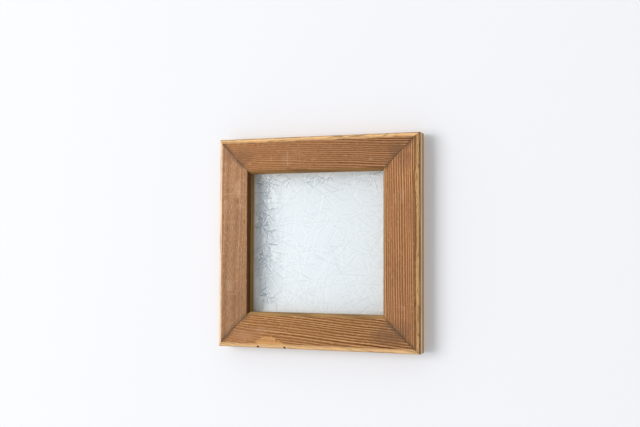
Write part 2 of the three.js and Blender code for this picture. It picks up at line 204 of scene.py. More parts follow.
def new_object(name, bm):
    mesh = bpy.data.meshes.new(name)
    bm.to_mesh(mesh)
    bm.free()
    made = bpy.data.objects.new(name, mesh)
    bpy.context.scene.collection.objects.link(made)
    return made


def cut(bm, tools):
    """The mesh with the tools' shapes cut out of it."""
    stock = new_object("stock", bm)
    bit = new_object("bit", tools)
    boolean = stock.modifiers.new("cut", "BOOLEAN")
    boolean.operation = "DIFFERENCE"
    boolean.solver = "EXACT"
    boolean.object = bit
    result = bmesh.new()
    result.from_object(stock, bpy.context.evaluated_depsgraph_get())
    for used in (stock, bit):
        mesh = used.data
        bpy.data.objects.remove(used)
        bpy.data.meshes.remove(mesh)
    return result


def fixings_in(side):
    """The V-nails and screws that go into one side's rail, as tools that reach out of its back."""
    tools = bmesh.new()
    for name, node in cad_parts.items():
        screw = name.startswith(f"turn_button_screw_{side}") or (side == "top" and "hanger_screw" in name)
        v_nail = name.startswith("v_nail") and f"_{side}_" in name
        if not (screw or v_nail):
            continue
        fixing = bmesh.new()
        fixing.from_mesh(node.data)
        bmesh.ops.remove_doubles(fixing, verts=fixing.verts, dist=TOUCHING)
        back = max(vert.co.y for vert in fixing.verts)
        outer = [vert for vert in fixing.verts if v_nail and vert.co.y > back - FLUSH]
        bmesh.ops.translate(fixing, verts=outer, vec=(0, TOOL_OVERSHOOT, 0))
        copy = bpy.data.meshes.new(name)
        fixing.to_mesh(copy)
        fixing.free()
        tools.from_mesh(copy)
        bpy.data.meshes.remove(copy)
    return tools


def add_old_nail_holes(tools):
    length = OLD_NAIL_DEPTH + TOOL_OVERSHOOT
    for place in OLD_NAIL_PLACES:
        middle = Vector((place, rail_low.y + OLD_NAIL_FROM_FACE, rail_low.z + OLD_NAIL_DEPTH - length / 2))
        bmesh.ops.create_cone(
            tools, cap_ends=True, segments=OLD_NAIL_SIDES, radius1=OLD_NAIL_RADIUS,
            radius2=OLD_NAIL_RADIUS * OLD_NAIL_TAPER, depth=length, matrix=Matrix.Translation(middle),
        )


# Millimetres over which the grain sways and ripples, its relief varies and the edges and the chip are ragged.
SWAY_LENGTH = 65
RIPPLE_PATCH = (22, 8)
RELIEF_PATCH = (30, 6)
DENT_PATCH = (7, 4)
CHIP_PATCH = (4, 6)
CHIP_SEED = 1.5
# How far good and poor years shift the growth rings, and over what radius: a slow swing and a quick one.
SLOW_YEARS = (0.6, 5.3)
QUICK_YEARS = (0.3, 2.1)
# How deep the weathered skin goes, and how far from its arris and how deep an edge is worn.
SKIN_DEPTH = 0.2
WEAR_REACH = 1.6
WEAR_DEPTH = 0.35


def unevenness(along, across, patch, seed):
    """Noise over a board, from about -1 to 1, in patches of a length and a width."""
    length, width = patch
    return noise.noise((along / length, across / width, seed))


def growth_ring(board, along, across, depth):
    """The number of growth rings between the pith and a point of the board."""
    seed = board["seed"]
    wander = board["slope"] * along + board["sway"] * noise.noise((along / SWAY_LENGTH, seed, 0))
    ripple = board["ripple"] * unevenness(along, across, RIPPLE_PATCH, seed)
    pith_across, pith_depth = board["pith"]
    radius = math.hypot(across + wander + ripple - pith_across, depth - pith_depth)
    slow, slow_radius = SLOW_YEARS
    quick, quick_radius = QUICK_YEARS
    years = slow * math.sin(radius / slow_radius) + quick * math.sin(radius / quick_radius + seed)
    return (radius + years) / board["ring"]


def chip_inside(along, across):
    """How far inside the bottom rail's split-off patch a point of its face is, in millimetres."""
    rise = numpy.interp(along, CHIP_ALONG, CHIP_RISE)
    ragged = unevenness(along, across, CHIP_PATCH, CHIP_SEED)
    return rise * (1 + CHIP_RAGGED * ragged) - (across - OUTER_CHAMFER / MM)


def weather(bm, name, board, placement):
    """Raises the hard grain, wears the edges and opens the chip, always inwards from the sawn shape."""
    place_layer = bm.verts.layers.float_vector.new("board")
    ring_layer = bm.verts.layers.float.new("ring")
    chip_layer = bm.verts.layers.float.new("chip")
    width = RAIL_WIDTH / MM
    outer = OUTER_CHAMFER / MM
    sight = SIGHT_CHAMFER / MM
    arrises = [(outer, 0), (0, outer), (width - sight, 0), (width, sight)]
    relief_seed = board["seed"] + 9
    dent_seed = board["seed"] + 20
    to_board = placement.inverted()
    bm.normal_update()
    for vert in bm.verts:
        local = to_board @ vert.co / MM
        along, across, depth = local.x, local.z, local.y + RAIL_THICKNESS / MM
        vert[place_layer] = (along, across, depth)
        ring = growth_ring(board, along, across, depth)
        vert[ring_layer] = ring
        if depth < SKIN_DEPTH:
            edge = min(across - outer, width - sight - across)
            crest = (0.5 + 0.5 * math.cos(math.tau * ring)) ** 2
            strength = 0.7 + 0.5 * unevenness(along, across, RELIEF_PATCH, relief_seed)
            vert.co.y += board["relief"] * strength * (1 - crest) * min(max(edge, 0), 1) * MM
        nearest = min(math.hypot(across - a, depth - d) for a, d in arrises)
        if nearest < WEAR_REACH:
            dent = unevenness(along, across, DENT_PATCH, dent_seed) + 0.25
            vert.co -= vert.normal * (WEAR_DEPTH * max(dent, 0) * (1 - nearest / WEAR_REACH) * MM)
        if name == "bottom_rail" and depth < CHIP_DEPTH:
            inside = chip_inside(along, across)
            vert[chip_layer] = inside
            floor = CHIP_DEPTH * (1 - math.exp(-max(inside, 0) / CHIP_SLOPE))
            vert.co.y += max(floor - depth, 0) * MM


class Shade:
    """A socket of a material's node tree. Sums and products of sockets add Math nodes."""

    def __init__(self, tree, socket=None):
        self.tree = tree
        self.socket = socket

    def node(self, kind, sockets=None, output=0, **settings):
        """A new node of a kind, with its settings made first and then its sockets filled or linked."""
        made = self.tree.nodes.new("ShaderNode" + kind)
        for setting, value in settings.items():
            setattr(made, setting, value)
        for key, value in (sockets or {}).items():
            if isinstance(value, Shade):
                self.tree.links.new(value.socket, made.inputs[key])
            else:
                made.inputs[key].default_value = value
        return Shade(self.tree, made.outputs[output])

    def other(self, output):
        """Another output of the node that this socket belongs to."""
        return Shade(self.tree, self.socket.node.outputs[output])

    def math(self, operation, *values):
        return self.node("Math", dict(enumerate((self, *values))), operation=operation)

    def __add__(self, value):
        return self.math("ADD", value)

    def __sub__(self, value):
        return self.math("SUBTRACT", value)

    def __rsub__(self, value):
        return self.node("Math", {0: value, 1: self}, operation="SUBTRACT")

    def __mul__(self, value):
        return self.math("MULTIPLY", value)

    def __truediv__(self, value):
        return self.math("DIVIDE", value)

    def __pow__(self, value):
        return self.math("POWER", value)

    __radd__ = __add__
    __rmul__ = __mul__

    def wave(self):
        """A wave of this many turns, from 0 to 1, at its crest on whole turns."""
        return (self * math.tau).math("COSINE") * 0.5 + 0.5

    def squares(self, other):
        """The square of this value plus the square of another."""
        return self * self + other * other

    def between(self, low, high):
        """Rises smoothly from 0 at low to 1 at high."""
        limits = {"Value": self, "From Min": low, "From Max": high}
        return self.node("MapRange", limits, interpolation_type="SMOOTHSTEP")

    def fades(self, low, high):
        """Falls smoothly from 1 at low to 0 at high."""
        return 1 - self.between(low, high)

    def band(self, rise, fall):
        """Rises smoothly from 0 to 1 over one span and falls back over a later one."""
        return self.between(*rise) * self.fades(*fall)

    def line(self, core, rim):
        """1 where this is within the core of 0 either way, and 0 past the rim."""
        return self.math("ABSOLUTE").fades(core, rim)

    def mix(self, first, second):
        """The first colour where this is 0 and the second where it is 1."""
        return self.node("Mix", {0: self, 6: first, 7: second}, output=2, data_type="RGBA")

    def parts(self):
        """The three numbers of a vector."""
        first = self.node("SeparateXYZ", {0: self})
        return first, first.other(1), first.other(2)

    def scaled(self, amount):
        """A vector or colour times one number, which may be a socket."""
        return self.node("VectorMath", {0: self, "Scale": amount}, operation="SCALE")

    def times(self, vector):
        return self.node("VectorMath", {0: self, 1: vector}, operation="MULTIPLY")

    def shifted(self, vector):
        return self.node("VectorMath", {0: self, 1: vector}, operation="ADD")

    def noise(self, scale=1.0, detail=2.0, roughness=0.5):
        """Noise over this vector."""
        sockets = {"Vector": self, "Scale": scale, "Detail": detail, "Roughness": roughness}
        return self.node("TexNoise", sockets)

    def bump(self, strength, distance):
        """The surface's normal, tilted by this height."""
        return self.node("Bump", {"Height": self, "Strength": strength, "Distance": distance})


def new_finish(name):
    """A material and a start for the sums of its nodes."""
    material = bpy.data.materials.new(name)
    material.use_nodes = True
    return material, Shade(material.node_tree)


def feed(material, **sockets):
    """Sets or links sockets of a material's Principled shader, named with _ for a space."""
    shader = material.node_tree.nodes["Principled BSDF"]
    for name, value in sockets.items():
        socket = shader.inputs[name.replace("_", " ")]
        if isinstance(value, Shade):
            material.node_tree.links.new(value.socket, socket)
        else:
            socket.default_value = value


# Noises of the grain: repeats in a millimetre along, across and through the board, detail and roughness.
GRAIN_NOISES = {
    "fibre": ((0.03, 1.7, 1.7), 5, 0.6),
    "fine": ((0.14, 4, 4), 3, 0.6),
    "fleck": ((0.11, 0.75, 0.75), 3, 0.6),
    "blotch": ((0.014, 0.05, 0.05), 3, 0.5),
    "cloud": ((0.018, 0.16, 0.16), 3, 0.5),
    "grit": ((0.4, 0.8, 0.8), 2, 0.7),
    "wobble": ((0.16, 0.02, 0.02), 3, 0.5),
    "hair": ((0.13, 1.5, 1.5), 2, 0.6),
    "speck": ((0.2, 1.0, 1.0), 1, 0.5),
}
SEED_SPACING = 10
# Where in a ring's turn the pale ridge and the dark groove lines lie, grain lines that also paint the raised
# grain's highlight and shade, and how many thin lines go to a turn.
RIDGE_TURN = 0.3
GROOVE_TURN = 0.72
THIN_LINES = 2.3

# Scuffs on the faces: along, across, half length, half width, strength.
SCUFFS = {
    "bottom_rail": [(-80, 26, 12, 6, 0.4), (-60, 25, 12, 4, 0.25), (-105, 17, 16, 7, 0.25)],
    "left_rail": [(-78, 32, 16, 7, 1.0), (-54, 13, 10, 6, 0.6), (62, 20, 10, 9, 0.7), (-52, 36, 5, 8, 0.6)],
    "top_rail": [(-83, 36, 5, 2.5, 0.7), (40, 32, 14, 8, 0.3)],
    "right_rail": [(60, 33, 10, 2, 0.6), (-88, 22, 5, 4, 0.5), (66, 22, 14, 5, 0.4)],
}
# Patches rubbed smooth or smudged by hands, given in the same way with the tone that they have taken on.
RUBBED = srgb(160, 114, 80)
SMUDGED = srgb(128, 92, 68)
PATCHES = {
    "bottom_rail": [
        (-112, 18, 34, 11, 0.7, RUBBED),
        (-85, 26, 16, 6, 0.4, RUBBED),
        (108, 25, 26, 18, 0.6, SMUDGED),
    ],
    "left_rail": [(80, 30, 26, 12, 0.4, RUBBED), (-128, 20, 14, 12, 0.5, SMUDGED)],
    "top_rail": [(112, 26, 18, 14, 0.5, SMUDGED), (-118, 24, 12, 14, 0.5, SMUDGED)],
    "right_rail": [(116, 20, 18, 12, 0.5, SMUDGED), (-120, 22, 16, 13, 0.6, SMUDGED)],
}
# Scratches across the grain: along, first and last distance from the outer edge, half width.
SCRATCHES = {
    "left_rail": [(-70, 9, 45, 0.7), (-66, 20, 40, 0.5), (68, 12, 36, 0.5), (74, 18, 32, 0.5)],
    "top_rail": [(40.5, 21, 42, 0.75), (28, 18, 26, 0.6), (66, 27, 34, 0.6), (22, 26, 40, 0.45)],
}
# The crack in the split-off patch: its middle along and across, its lean, and where it starts and ends.
CRACK_MIDDLE = (-57.4, 12.5)
CRACK_LEAN = 0.4
CRACK_START = (9, 11)
CRACK_END = (14, 16)
BLACK = (0, 0, 0, 1)
MITRE_SMUDGE = srgb(100, 77, 58)
SCUFF_PALE = srgb(212, 176, 144)
SAWN_TONE = srgb(206, 172, 128)
EDGE_TONE = srgb(177, 131, 92)
EDGE_PALE = srgb(255, 216, 164)
EDGE_GROOVE = srgb(120, 82, 30)
ARRIS_TONE = srgb(128, 84, 42)
CHIP_TONE = srgb(204, 149, 95)
OLD_NAIL_STAIN = srgb(58, 34, 20)


def darker(colour, amount):
    return (*(Vector(colour[:3]) * amount), 1)


def board_grain(wood, board):
    """Where a point lies in its board, in millimetres, and the noises and lines of the grain there."""
    place = wood.node("Attribute", output=1, attribute_name="board")
    grain = SimpleNamespace()
    grain.along, grain.across, grain.depth = place.parts()
    grain.ring = wood.node("Attribute", output=2, attribute_name="ring")
    own_place = place.shifted((board["seed"] * SEED_SPACING, 0, 0))
    for kind, (repeats, detail, roughness) in GRAIN_NOISES.items():
        setattr(grain, kind, own_place.times(repeats).noise(detail=detail, roughness=roughness))
    grain.fade = grain.cloud.between(0.3, 0.66)
    grain.waver = grain.wobble - 0.5
    grain.ragged = grain.fleck - 0.5
    grain.mottle = (
        grain.fibre * 0.4 + grain.fine * 0.4 + grain.fleck * 0.6
        + grain.blotch * 0.5 + grain.grit * 0.7 - 0.35
    )
    grain.late = (grain.ring * 0.45 + grain.fibre * 0.5).wave() ** 1.5
    grain.turn = grain.ring + grain.fleck * 0.2 + grain.grit * 0.1
    each_ring = wood.node("TexWhiteNoise", {"W": (grain.ring + 0.5).math("FLOOR")}, noise_dimensions="1D")
    lined = (grain.along * board["lined"] + 1) * board["contrast"]
    grain.strength = (each_ring * 0.7 + 0.5) * (grain.fade * 0.6 + 0.55) * lined
    grain.ridge = (grain.turn - RIDGE_TURN).wave() ** 5 * grain.strength
    return grain


def mottled(grain, tone):
    """A tone made uneven by fibres, flecks and dirt."""
    return (grain.mottle * 0.5).mix(BLACK, darker(tone, 2))


def weathered_skin(grain, board):
    """The old face: a mottled tone under pale and dark hairs, pale ridge and dark groove lines that are grain
    and painted highlight and shade of the raised grain, thin lines and specks.
    """
    groove = (grain.turn - GROOVE_TURN).wave() ** 3 * grain.strength
    thin = (grain.turn * THIN_LINES + grain.fibre).wave() ** 4 * (1 - grain.fade) * board["contrast"]
    skin = mottled(grain, board["tone"])
    skin = (grain.hair.between(0.48, 0.75) * board["hair"]).mix(skin, SCUFF_PALE)
    skin = (grain.hair.fades(0.3, 0.45) * board["hair"]).mix(skin, board["dark"])
    # Pale ridge lines and dark groove lines: grain lines that also paint the highlight and shade of the
    # raised grain.
    skin = (grain.ridge * (grain.fleck * 0.9 + 0.45)).mix(skin, board["light"])
    skin = (groove * (grain.grit * 0.8 + 0.5)).mix(skin, board["dark"])
    skin = (thin * 0.3).mix(skin, board["dark"])
    return (grain.speck.between(0.66, 0.76) * 0.6).mix(skin, darker(board["light"], 1.25))


def oval(grain, along, across, half_length, half_width):
    """How far out a point of the face is in an oval: 0 at its middle and about 1 on its ragged rim."""
    out_along = (grain.along - along) / half_length
    out_across = (grain.across - across) / half_width
    return out_along.squares(out_across) + grain.ragged * 2


def worn_skin(grain, name, board):
    """The old face with its rubbed and smudged patches, scuffs, scratches and dirt along the mitres."""
    skin = weathered_skin(grain, board)
    for *place, amount, tone in PATCHES[name]:
        skin = (oval(grain, *place).fades(-0.2, 1.4) * amount).mix(skin, mottled(grain, tone))
    broken = (grain.fine + grain.fleck * 0.6).between(0.6, 1.1)
    for *place, amount in SCUFFS[name]:
        skin = (oval(grain, *place).fades(-0.2, 1.1) * broken * amount).mix(skin, SCUFF_PALE)
    for along, first, last, half_width in SCRATCHES.get(name, ()):
        scratch = (grain.along - along + grain.waver * 3).line(half_width * 0.4, half_width * 1.5)
        scratch = scratch * grain.across.band((first - 1, first + 1), (last - 2, last + 2))
        skin = (scratch * grain.fine.between(0.3, 0.8) * 0.6).mix(skin, SCUFF_PALE)
    skin = skin.scaled(grain.along * board["drift"] + 1)
    mitre = (FRAME_SIDE / MM / 2 - grain.across - grain.along.math("ABSOLUTE")) / math.sqrt(2)
    smudge = (mitre + grain.ragged * 4).fades(0.5, 7) * grain.blotch.between(0.38, 0.6)
    skin = (smudge * 0.7).mix(skin, MITRE_SMUDGE)
    return ((mitre + grain.ragged * 1.5).fades(0.1, 1.1) * 0.5).mix(skin, darker(board["tone"], 0.35))


def fresh_chamfer(grain, board):
    """The newly cut outer chamfer, pale with lenses of darker late wood."""
    per_ring, per_mm, bow, late_tone = board["figure"]
    turn = grain.ring * per_ring + grain.along * per_mm + grain.blotch * bow + grain.fibre * 0.5
    streak = turn.wave() ** 3 * (grain.fade * 0.5 + 0.4)
    fresh = streak.mix(board["fresh"], darker(board["fresh"], late_tone))
    return fresh.scaled(grain.fibre * 0.3 + grain.fine * 0.3 + grain.grit * 0.3 + 0.55)


def old_side(grain, board):
    """The side of the board, brown with a wavering pale band along it."""
    depth, half_width, amount = board["band"]
    band = (grain.depth + grain.waver * 2 - depth).line(half_width - 1, half_width + 1)
    side = (band * (grain.fade * 0.5 + 0.5) * amount).mix(EDGE_TONE, EDGE_PALE)
    return side.scaled(grain.fibre * 0.5 + grain.fine * 0.3 + 0.6)


def scarred(colour, grain):
    """The bottom rail's colour with its bare, cracked chip and the rust round its old nail holes."""
    outer = OUTER_CHAMFER / MM
    chip = grain.ring.node("Attribute", output=2, attribute_name="chip") + grain.ragged * 2
    chipped = chip.between(-0.2, 0.4) * grain.depth.fades(2, 3) * grain.across.between(outer - 1, outer)
    bare = grain.late.mix(CHIP_TONE, darker(CHIP_TONE, 0.8))
    bare = bare.scaled(grain.fibre * 0.4 + grain.fleck * 0.3 + 0.65)
    crack_along, crack_across = CRACK_MIDDLE
    crack = (grain.along - crack_along + (grain.across - crack_across) * CRACK_LEAN).line(0.3, 0.9)
    crack = crack * grain.across.band(CRACK_START, CRACK_END)
    colour = chipped.mix(colour, crack.mix(bare, darker(CHIP_TONE, 0.15)))
    for nail in OLD_NAIL_PLACES:
        away = (grain.along - nail / MM).squares(grain.depth - OLD_NAIL_FROM_FACE / MM).math("SQRT")
        stain = away.fades(1.2, 2.3) * grain.across.fades(18, 20)
        colour = stain.mix(colour, OLD_NAIL_STAIN)
    return colour


def wood_finish(name, board):
    """A board's finish, worked inwards from the side and the outer chamfer to the sight edge."""
    material, wood = new_finish(name)
    grain = board_grain(wood, board)
    across, depth, waver = grain.across, grain.depth, grain.waver
    outer = OUTER_CHAMFER / MM
    sight = SIGHT_CHAMFER / MM
    ledge = RABBET_DEPTH / MM
    back = RAIL_THICKNESS / MM

    on_side = (depth - outer + waver).between(-0.2, 0.2)
    colour = on_side.mix(fresh_chamfer(grain, board), old_side(grain, board))
    sawn = grain.late.mix(SAWN_TONE, darker(SAWN_TONE, 0.7)).scaled(grain.fibre * 0.4 + 0.8)
    colour = depth.between(back - 1.5, back - 0.8).mix(colour, sawn)

    past_arris = across - outer + waver * 1.6 + (grain.blotch - 0.5) * board["arris"] * 9
    on_face = past_arris.between(-0.2, 0.25) * depth.fades(1.3, 2.0)
    colour = on_face.mix(colour, worn_skin(grain, name, board))
    arris = past_arris.band((-2.8, -2.0), (-0.1, 0.8)) * depth.fades(2, 4)
    colour = (arris * board["arris"]).mix(colour, ARRIS_TONE)

    edge_amount, edge_reach = board["edge"]
    edge_line = (depth - outer + waver * 0.8).band((-1.8, -1.0), (edge_reach - 0.3, edge_reach + 0.3))
    edge_line = edge_line * across.fades(2.4, 3.2) * grain.fade.between(-0.6, 0.6)
    colour = (edge_line * edge_amount).mix(colour, EDGE_GROOVE)

    sight_cut = (depth - sight).between(-0.4, 0.4).mix(board["sight"], board["wall"])
    sight_cut = sight_cut.scaled((grain.fibre * 0.5 + 0.75) * (1 - grain.late * 0.35))
    past_sight = across - (RAIL_WIDTH / MM - sight) + waver * 0.8
    in_sight = past_sight.between(-0.2, 0.3) * depth.fades(ledge - 0.2, ledge + 0.1)
    colour = in_sight.mix(colour, sight_cut)
    if name == "bottom_rail":
        colour = scarred(colour, grain)

    raised = (grain.fine * 0.6 + grain.fibre * 0.8 + grain.ridge * 0.4).bump(0.5, 0.3 * MM)
    feed(
        material, Base_Color=colour, Roughness=grain.fibre * 0.3 + 0.5, Specular_IOR_Level=0.15,
        Normal=raised,
    )
    return material


def add_piece(name, bm, material, body, slot, *nodes):
    """Shows a mesh in place of CAD nodes, moving with a body."""
    made = new_object(name, bm)
    made.data.materials.append(material)
    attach(made, body)
    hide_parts(*nodes)
    return made


def soften(bm):
    """Shades a mesh smoothly except across its hard edges."""
    bm.normal_update()
    for face in bm.faces:
        face.smooth = True
    for edge in bm.edges:
        edge.smooth = edge.calc_face_angle(0) < CREASE_ANGLE


for name, board in BOARDS.items():
    turned = Matrix.Rotation(board["turn"] * math.pi / 2, 4, "Y")
    placement = Matrix.Translation(FRAME_MIDDLE) @ turned @ Matrix.Translation((0, 0, -FRAME_SIDE / 2))
    rail = mitred_rail()
    bmesh.ops.transform(rail, matrix=placement, verts=rail.verts)
    tools = fixings_in(name.removesuffix("_rail"))
    if name == "bottom_rail":
        add_old_nail_holes(tools)
    rail = cut(rail, tools)
    weather(rail, name, board, placement)
    soften(rail)
    add_piece(f"{name}_board", rail, wood_finish(name, board), "frame", "reclaimed_wood", name)


# V-nails
# Bent steel strips driven into the back across each mitre, just below the wood. Their solids have the
# right shape, so they stay and get a bare steel with a little rust.
STEEL_CLEAN = srgb(150, 152, 155)
STEEL_RUST = srgb(120, 86, 62)


def place_on(finish):
    """The place on a piece, in millimetres."""
    return finish.node("TexCoord", output=3).scaled(1 / MM)


v_nail_steel, steel = new_finish("v_nail_steel")
rust = place_on(steel).noise(scale=0.6, detail=4).between(0.52, 0.7)
feed(
    v_nail_steel, Base_Color=(rust * 0.7).mix(STEEL_CLEAN, STEEL_RUST), Metallic=1 - rust * 0.5,
    Roughness=rust * 0.3 + 0.35,
)
for name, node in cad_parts.items():
    if name.startswith("v_nail"):
        node.data.materials.clear()
        node.data.materials.append(v_nail_steel)


# Figured glass
# One pane of clear rolled glass. Straight needle-like ridges, some in bursts, cross each other over low
# swells on its front face; it drops into the rabbet against the ledge.
NEEDLE_HEIGHT = 0.12 * MM
NEEDLE_POINT = 0.2
SWELL_RISE = 0.2
PLAIN_RISE = 0.6
BOLD_THINNER = 1.4
# A needle's least and most half width in millimetres and strength of its painted highlight and shade, and in
# half widths its clearance from the pane's edge and the half length under which it is left out.
NEEDLE_HALF_WIDTHS = (0.8, 1.5)
NEEDLE_STRENGTHS = (0.1, 0.24)
NEEDLE_CLEARANCE = 1.5
NEEDLE_SHORTEST = 2
# Swells all over the pane: how many, their shades, half widths and half lengths in millimetres.
BROAD_SWELLS = 30
BROAD_SHADES = (-0.14, 0.04)
BROAD_HALF_WIDTHS = (2, 4)
BROAD_HALF_LENGTHS = (20, 40)
# Swells along two edges that carry a painted shadow of the rails: how many, their distance from the edge
# (least, most, usual), how far they lean, the darkest painted shadow, its fading (where it ends, over what
# distance, how fast) and half widths. In millimetres.
EDGE_SWELLS_WITH_PAINTED_SHADOW = {
    "left": {
        "count": 150, "inwards": (2, 54, 10), "lean": 0.4, "darkest": 0.66, "fading": (57, 36, 1.7),
        "half_widths": (4, 7),
    },
    "top": {
        "count": 48, "inwards": (0, 44, 3), "lean": 0.3, "darkest": 0.48, "fading": (48, 48, 2),
        "half_widths": (3, 5),
    },
}
EDGE_HALF_LENGTHS = (12, 30)
# Single needles, long and short: how many, and the least and most half length in millimetres.
SINGLE_NEEDLES = ((420, (8, 26)), (150, (3, 8)))
# Bursts of needles, all over and along two edges, where their painted highlight and shade are bolder,
# standing in for the light and shade that the ridges bend in from the edge of the rails' shadow.
BURST_COUNTS = (3, 6)
NEEDLE_BURSTS = 24
BURST_LENGTH = 12 * MM
LEFT_BURSTS = 20
LEFT_BURST_LENGTH = 9 * MM
LEFT_PAINTED_BOLDNESS = 5.6
LEFT_ZONE = (11 * MM, 24 * MM)
TOP_BURSTS = 14
TOP_BURST_LENGTH = 11 * MM
TOP_PAINTED_BOLDNESS = 3.2
TOP_ZONE = (2 * MM, 12 * MM)
# Millimetres from the left of the opening over which the lit needles lose their glint.
GLINT_ZONE = (12, 34)
GLASS_IOR = 1.5
GLASS_CLEAR = srgb(252, 254, 254)
GLASS_TINT = srgb(228, 229, 233)
# Tints for the needles' painted shade and painted highlight and for the rails' painted shadow, which also
# give the broad swells their random tone.
PAINTED_SHADE_AND_FIGURE_DARK = srgb(104, 116, 127)
PAINTED_HIGHLIGHT_AND_FIGURE_PALE = srgb(255, 255, 255)
dice = random.Random(20)
sight_left = pane_low.x + RABBET_WIDTH
sight_top = pane_high.z - RABBET_WIDTH


def somewhere():
    return Vector((dice.uniform(pane_low.x, pane_high.x), dice.uniform(pane_low.z, pane_high.z)))


def pointing(heading):
    return Vector((math.cos(heading), math.sin(heading)))


def add_needle(needles, middle, heading, half_length, half_width, shade, rise=1.0):
    """One straight ridge in X and Z, pointed at both ends and no longer than the pane has room for."""
    ahead = pointing(heading)
    clear = NEEDLE_CLEARANCE * half_width
    reach = zip(pane_low.xz, middle, pane_high.xz, ahead)
    room = [(min(far - at, at - near) - clear) / max(abs(step), 0.01) for near, at, far, step in reach]
    half_length = min(half_length, *room)
    if half_length > NEEDLE_SHORTEST * half_width:
        needles.append((middle, ahead, half_length, half_width, shade, rise))


def add_pair(needles, middle, heading, half_length, boldness=1.0):
    """A needle as its lit flank, painted pale as a highlight and palest on upright needles, beside its shaded
    one, painted dark as shade and darkest on level ones.
    """
    bold = boldness > 1
    half_width = dice.uniform(*NEEDLE_HALF_WIDTHS) * MM / (BOLD_THINNER if bold else 1)
    strength = dice.uniform(*NEEDLE_STRENGTHS)
    beside = Vector((-math.sin(heading), math.cos(heading))) * half_width * dice.choice((-1, 1))
    lit = strength * (0.4 + 0.9 * abs(math.sin(heading))) * math.sqrt(boldness)
    shaded = -strength * (0.4 + 0.9 * abs(math.cos(heading))) * boldness
    rise = 1.0 if bold else PLAIN_RISE
    add_needle(needles, middle + beside, heading, half_length, half_width, lit, rise)
    add_needle(needles, middle - beside, heading, half_length, half_width, shaded, rise)


def add_burst(needles, centre, longest, boldness=1.0):
    for _ in range(dice.randint(*BURST_COUNTS)):
        heading = dice.uniform(0, math.tau)
        half = dice.uniform(0.4, 1) * longest
        away = pointing(heading) * half * dice.uniform(0.3, 1.1)
        add_pair(needles, centre + away, heading, half, boldness)


def swells_and_painted_shadow():
    """Broad low swells under the needles, closest along the left and top edges, where their shade is a
    painted shadow of the rails.
    """
    swells = []
    for _ in range(BROAD_SWELLS):
        shade = dice.uniform(*BROAD_SHADES)
        half_width = dice.uniform(*BROAD_HALF_WIDTHS) * MM
        middle = somewhere()
        heading = dice.uniform(0, math.pi)
        half_length = dice.uniform(*BROAD_HALF_LENGTHS) * MM
        add_needle(swells, middle, heading, half_length, half_width, shade)
    for edge, look in EDGE_SWELLS_WITH_PAINTED_SHADOW.items():
        end, over, power = look["fading"]
        for _ in range(look["count"]):
            inwards = dice.triangular(*look["inwards"])
            middle = somewhere()
            heading = dice.uniform(-look["lean"], look["lean"])
            if edge == "left":
                middle.x = sight_left + inwards * MM
                heading += math.pi / 2
            else:
                middle.y = sight_top - inwards * MM
            shade = -look["darkest"] * min(1, (end - inwards) / over) ** power
            half_length = dice.uniform(*EDGE_HALF_LENGTHS) * MM
            half_width = dice.uniform(*look["half_widths"]) * MM
            add_needle(swells, middle, heading, half_length, half_width, shade)
    return swells


def needle_figure():
    needles = []
    for count, half_lengths in SINGLE_NEEDLES:
        for _ in range(count):
            middle = somewhere()
            heading = dice.uniform(0, math.pi)
            add_pair(needles, middle, heading, dice.uniform(*half_lengths) * MM)
    for _ in range(NEEDLE_BURSTS):
        add_burst(needles, somewhere(), BURST_LENGTH)
    for _ in range(LEFT_BURSTS):
        centre = somewhere()
        centre.x = sight_left + dice.uniform(*LEFT_ZONE)
        add_burst(needles, centre, LEFT_BURST_LENGTH, LEFT_PAINTED_BOLDNESS)
    for _ in range(TOP_BURSTS):
        centre = somewhere()
        centre.y = sight_top - dice.uniform(*TOP_ZONE)
        add_burst(needles, centre, TOP_BURST_LENGTH, TOP_PAINTED_BOLDNESS)
    return needles


def highest(ridges, flat):
    """The height, from 0 to 1, of the highest ridge at each place, and that ridge's shade there."""
    height = numpy.zeros(len(flat))
    shades = numpy.zeros(len(flat))
    for middle, ahead, half_length, half_width, shade, rise in ridges:
        away = flat - numpy.array(middle)
        along = numpy.abs(away @ numpy.array(ahead))
        side = numpy.abs(away @ numpy.array((-ahead.y, ahead.x)))
        point = numpy.clip((half_length - along) / (NEEDLE_POINT * half_length), 0, 1)
        ridge = numpy.clip(point - side / half_width, 0, 1)
        shades = numpy.where(ridge * rise > height, shade * ridge, shades)
        height = numpy.maximum(height, ridge * rise)
    return height, shades


